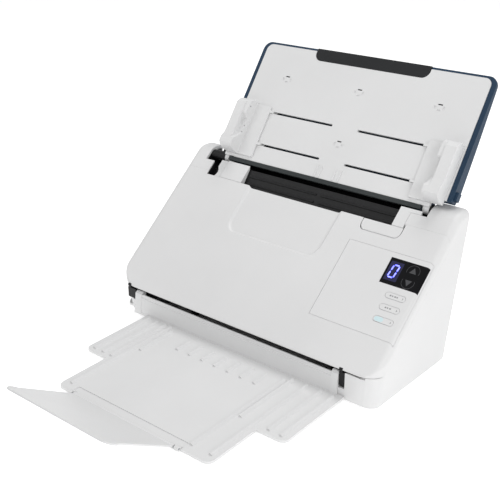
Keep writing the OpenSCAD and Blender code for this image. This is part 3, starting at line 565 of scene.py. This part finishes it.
def scoop_cutter():
    """Shallow bowl with soft shoulders: rings of a rounded outline, each deeper under the slope."""
    bm = bmesh.new()
    rings = []
    for grow, deep in ((3.0, -4.0), (1.4, -0.05), (0.8, 0.1), (0.2, 0.42), (-0.4, 0.95),
                       (-1.1, 1.45), (-2.0, 1.78), (-3.4, 1.9)):
        ring = round_rect(-77.5 - grow, 34.5 + grow, 68.5 - grow, 130,
                          (11 + grow, 11 + grow, 2, 2), 10)
        # the sides flare slightly towards the throat
        flare = [(x + (y - 88) * 0.02 * (-1 if x < -21 else 1), y) for x, y in ring]
        rings.append([bm.verts.new((x, y, slope_z(y) - deep / COS_S)) for x, y in flare])
    n = len(rings[0])
    for a, b in zip(rings, rings[1:]):
        for i in range(n):
            bm.faces.new((a[i], a[(i + 1) % n], b[(i + 1) % n], b[i]))
    bm.faces.new(rings[0][::-1])
    bm.faces.new(rings[-1])
    bmesh.ops.recalc_face_normals(bm, faces=bm.faces)
    return to_temp(bm)


scoop = scoop_cutter()
shell = boolean(shell, [
    ("DIFFERENCE", hollow),
    ("DIFFERENCE", block(-137.6, 103.4, 108.6, 120, 100, 160)),
    ("DIFFERENCE", slab(59.0, 160, -5, 2.2, 28.0, 90.0)),
    ("DIFFERENCE", slab(105, 144, -5, 5, 31, 87.5)),
    ("DIFFERENCE", block(-150.8, -138.8, -0.1, 6.1, 26, 29.7)),
    ("DIFFERENCE", block(112.9, 119.7, -0.1, 6.1, 26, 29.7)),
    ("DIFFERENCE", extruded(round_rect(61.0, 104.8, 99.2, 118, (5.6, 5.6, 0.01, 0.01)), 90, 160)),
    ("DIFFERENCE", scoop),
])
settle(shell, "cover_moulded", WHITE, "adf_cover", ("adf_cover_shell",))

# control panel, its window and keys
START_Y = 40.8
KEYS = (("mode_key_one", 59.0, "mode_one"), ("mode_key_two", 50.0, "mode_two"),
        ("start_key", START_Y, "start"))
KEY_X, KEY_TOP = 129.5, 0.3
panel = boolean(blank(), [
    ("INTERSECT", slab(59.35, 160, -5, 1.9, 28.35, 89.65)),
    ("DIFFERENCE", slab(107.5, 160, -5, 1.1, 66, 86)),
] + [("DIFFERENCE", extruded(pill(20.5, 6.1), -5, 5, on_slope(KEY_X, y))) for _, y, _ in KEYS])
settle(panel, "control_panel_moulded", PANEL, "adf_cover", ("control_panel",))
window = boolean(blank(), [("INTERSECT", slab(107.6, 160, -5, 1.0, 66.1, 85.9))])
settle(window, "display_moulded", GLOSS, "adf_cover", ("display_window",))
for n, y, body in KEYS:
    key = extruded(pill(20, 5.6), -2.4, KEY_TOP, on_slope(KEY_X, y))
    settle(key, n + "_moulded", PANEL, body, (n,), 0.0003, 3)


def printed(name, outline, x, y, look, body, thick=0.05):
    """Thin printed mark lying on a key."""
    low = KEY_TOP + 0.01
    settle(extruded(outline, low, low + thick, on_slope(x, y)), name, look, body)


def bar_outline(x0, x1, y0, y1):
    return [(x0, y0), (x1, y0), (x1, y1), (x0, y1)]


# generic marks on the keys: rows of dashes, a tick at the right end, and the start key's lit patch
for k, (n, y, body) in enumerate(KEYS[:2]):
    for i, w in enumerate((1.5, 1.1, 1.6, 1.2)[:4 - k]):
        x0 = -5.6 + 2.3 * i + k
        printed("mark_%d_%d" % (k, i), bar_outline(x0, x0 + w, -0.6, 0.6), KEY_X, y, GREY_PRINT_AND_SHADE, body)
for k, (n, y, body) in enumerate(KEYS):
    tick = [(7.0, -1.0), (8.0, 0.0), (7.0, 1.0), (6.7, 0.8), (7.4, 0.0), (6.7, -0.8)]
    printed("tick_%d" % k, tick, KEY_X, y, GREY_PRINT_AND_SHADE, body)
printed("start_patch", pill(9.0, 4.4), KEY_X - 4.5, START_Y, CYAN, "start", 0.04)

button = boolean(blank(), [
    ("INTERSECT", slab(61.7, 104.1, -5, 2.0, 99.9, 112)),
    ("INTERSECT", extruded(round_rect(61.8, 104.0, 100.0, 108.4, (5, 5, 0.01, 0.01)), 90, 160))])
settle(button, "release_button_moulded", WHITE, "release", ("release_button",), 0.0004, 3)

# black sheet at the floor of the button's well, below the button's travel: painted shade that
# darkens the gap around the button
well = boolean(blank(), [("INTERSECT", slab(60.0, 105.4, 3.4, 3.9, 98.2, 107.8))])
settle(well, "button_well_painted_shade", BLACK_AND_SHADE, "adf_cover")

# the lit digit, as separate bars on a dim blue bed
SLANT = Matrix(((1, 0.12, 0, 0), (0, 1, 0, 0), (0, 0, 1, 0), (0, 0, 0, 1)))
DIGIT_AT = on_slope(115.9, 76.2)
settle(extruded(round_rect(-6.3, 6.6, -9.6, 9.6, 0.6, 3), 0.01, 0.03, DIGIT_AT),
       "digit_bed_plate", DIGIT_BED, "adf_cover")
# half the digit's width and height, and half the width of a bar
HW, HH, h = 2.9, 6.2, 0.62
for i, (u0, v0, u1, v1) in enumerate((
        (-HW + 0.4, HH, HW - 0.4, HH), (-HW + 0.4, -HH, HW - 0.4, -HH), (-HW, 0.5, -HW, HH - 0.5),
        (HW, 0.5, HW, HH - 0.5), (-HW, -HH + 0.5, -HW, -0.5), (HW, -HH + 0.5, HW, -0.5))):
    seg = math.hypot(u1 - u0, v1 - v0)
    turn = math.atan2(v1 - v0, u1 - u0)
    place = (DIGIT_AT @ SLANT @ Matrix.Translation(((u0 + u1) / 2, (v0 + v1) / 2, 0))
             @ Matrix.Rotation(turn, 4, "Z"))
    bar = extruded([(-seg / 2, 0), (-seg / 2 + h, -h), (seg / 2 - h, -h), (seg / 2, 0),
                    (seg / 2 - h, h), (-seg / 2 + h, h)], 0.05, 0.14, place)
    settle(bar, "digit_bar_%d" % i, DIGIT, "adf_cover")


def ring_segment(r0, r1, a0, a1, n=16):
    """Part of a flat ring, from angle a0 to a1 in degrees."""
    angles = [math.radians(a0 + (a1 - a0) * i / n) for i in range(n + 1)]
    return ([(r1 * math.cos(a), r1 * math.sin(a)) for a in angles]
            + [(r0 * math.cos(a), r0 * math.sin(a)) for a in reversed(angles)])


# moulded outlines around the two arrows
for i, (y, a0) in enumerate(((79.9, -20), (71.6, 160))):
    settle(extruded(ring_segment(6.0, 6.35, a0, a0 + 220), 0.02, 0.1, on_slope(133.5, y)),
           "arrow_ring_%d" % i, ARROW, "adf_cover")

# pieces that keep the CAD's own shape, with moulded edges
for name, width, segments in (
    ("throat_block_left", 0.0006, 3), ("throat_block_right", 0.0006, 3), ("tray_panel", 0.0005, 2),
    ("tray_back_shell", 0.0010, 3), ("tray_handle", 0.0010, 3), ("guide_left", 0.0007, 2),
    ("guide_right", 0.0007, 2), ("stop_flap", 0.0006, 3),
    ("rear_cover", 0.0005, 2), ("bottom_plate", 0.0004, 2), ("rubber_feet", 0.0008, 3),
):
    refine(name, width, segments)
OUT_TRAY = Matrix.Translation((0, 0, 7.3)) @ Matrix.Rotation(math.radians(1.8), 4, "X")
TO_OUT_TRAY = (TO_M @ OUT_TRAY).inverted()


def plate_edge(e):
    """True for the output tray's own outline, and not for its ribs or its front recess."""
    ends = [TO_OUT_TRAY @ v.co for v in e.verts]
    rib = any(p.z > 0.15 and p.y < -6 for p in ends) or (e.is_manifold and not e.is_convex)
    recess = all(p.y < -57.5 and -74.5 < p.x < 62.5 for p in ends)
    return not rib and not recess


refine("output_tray_plate", 0.0004, 2, pick=plate_edge)

# black bars at the floor of the tray's snap slits: painted shade in the slits
TRAY_AT = Matrix.Translation((0, 128.8, 144.2)) @ Matrix.Rotation(math.radians(54.5), 4, "X")
for i, (u, v) in enumerate(((-90, 94), (0, 94), (90, 94), (0, 38))):
    slit = extruded(bar_outline(-2.3, 2.3, 2.5, 3.5), -1.4, -0.15,
                    TRAY_AT @ Matrix.Translation((u, v, 0)))
    settle(slit, "snap_slit_%d" % i, BLACK_AND_SHADE, "input_tray")
# small grey disks on the left guide: painted shade of small round dents
for i, (v, w) in enumerate(((33, 8.4), (26, 8.4), (54, 10.5))):
    turn = Matrix.Translation((-112.98, v, w)) @ Matrix.Rotation(math.radians(90), 4, "Y")
    ring = [(0.7 * math.cos(math.pi * a / 6), 0.7 * math.sin(math.pi * a / 6)) for a in range(12)]
    dot = extruded(ring, -0.2, 0.1, TRAY_AT @ turn)
    settle(dot, "guide_dot_%d" % i, GREY_PRINT_AND_SHADE, "left_guide")

# ------------------------------------------------------------------ floor, light and camera
bm = bmesh.new()
bmesh.ops.create_grid(bm, x_segments=4, y_segments=4, size=6.0)
me = bpy.data.meshes.new("floor")
bm.to_mesh(me)
bm.free()
floor = link("floor", me)
floor.location = (0, 0, -0.0002)
FLOOR = moulded("floor_white", (0.9, 0.9, 0.9), (0.93, 0.93, 0.93), 0.7, 40.0, 0.0)
floor_node = FLOOR.node_tree.nodes["Principled BSDF"]
floor_node.inputs["Emission Color"].default_value = (1.0, 1.0, 1.0, 1.0)
floor_node.inputs["Emission Strength"].default_value = 0.42
me.materials.append(FLOOR)

world = bpy.data.worlds.new("studio")
bpy.context.scene.world = world
world.use_nodes = True
bg = world.node_tree.nodes["Background"]
bg.inputs["Color"].default_value = (1.0, 1.0, 1.0, 1.0)
bg.inputs["Strength"].default_value = 0.55


def area(name, place, aim, size, power):
    l = bpy.data.lights.new(name, "AREA")
    l.shape = "RECTANGLE"
    l.size, l.size_y = size
    l.energy = power
    o = link(name, l)
    o.location = place
    o.rotation_euler = (Vector(aim) - Vector(place)).to_track_quat("-Z", "Y").to_euler()
    return o


area("key", (1.5, -0.7, 0.8), (0, 0, 0.08), (0.7, 0.7), 8.0)
area("fill", (-1.2, -1.2, 1.4), (0, 0, 0.1), (1.2, 1.2), 5.0)
area("rim", (0.1, 0.7, 1.9), (0, 0, 0.1), (1.4, 0.8), 15.0)

target = at(13.39, 0.0, 115.42)
az, el = math.radians(40.04), math.radians(23.27)
back = Vector((math.sin(az) * math.cos(el), -math.cos(az) * math.cos(el), math.sin(el)))
cam_data = bpy.data.cameras.new("camera")
# the focal length is 1.876 times the picture's width
cam_data.sensor_width = 36.0
cam_data.lens = 1.876 * 36.0
cam_data.clip_start, cam_data.clip_end = 0.01, 50.0
camera = link("camera", cam_data)
camera.location = target + back * 0.8324
camera.rotation_mode = "QUATERNION"
camera.rotation_quaternion = (-back).to_track_quat("-Z", "Y")
bpy.context.scene.camera = camera
bpy.context.scene.view_settings.view_transform = "Standard"
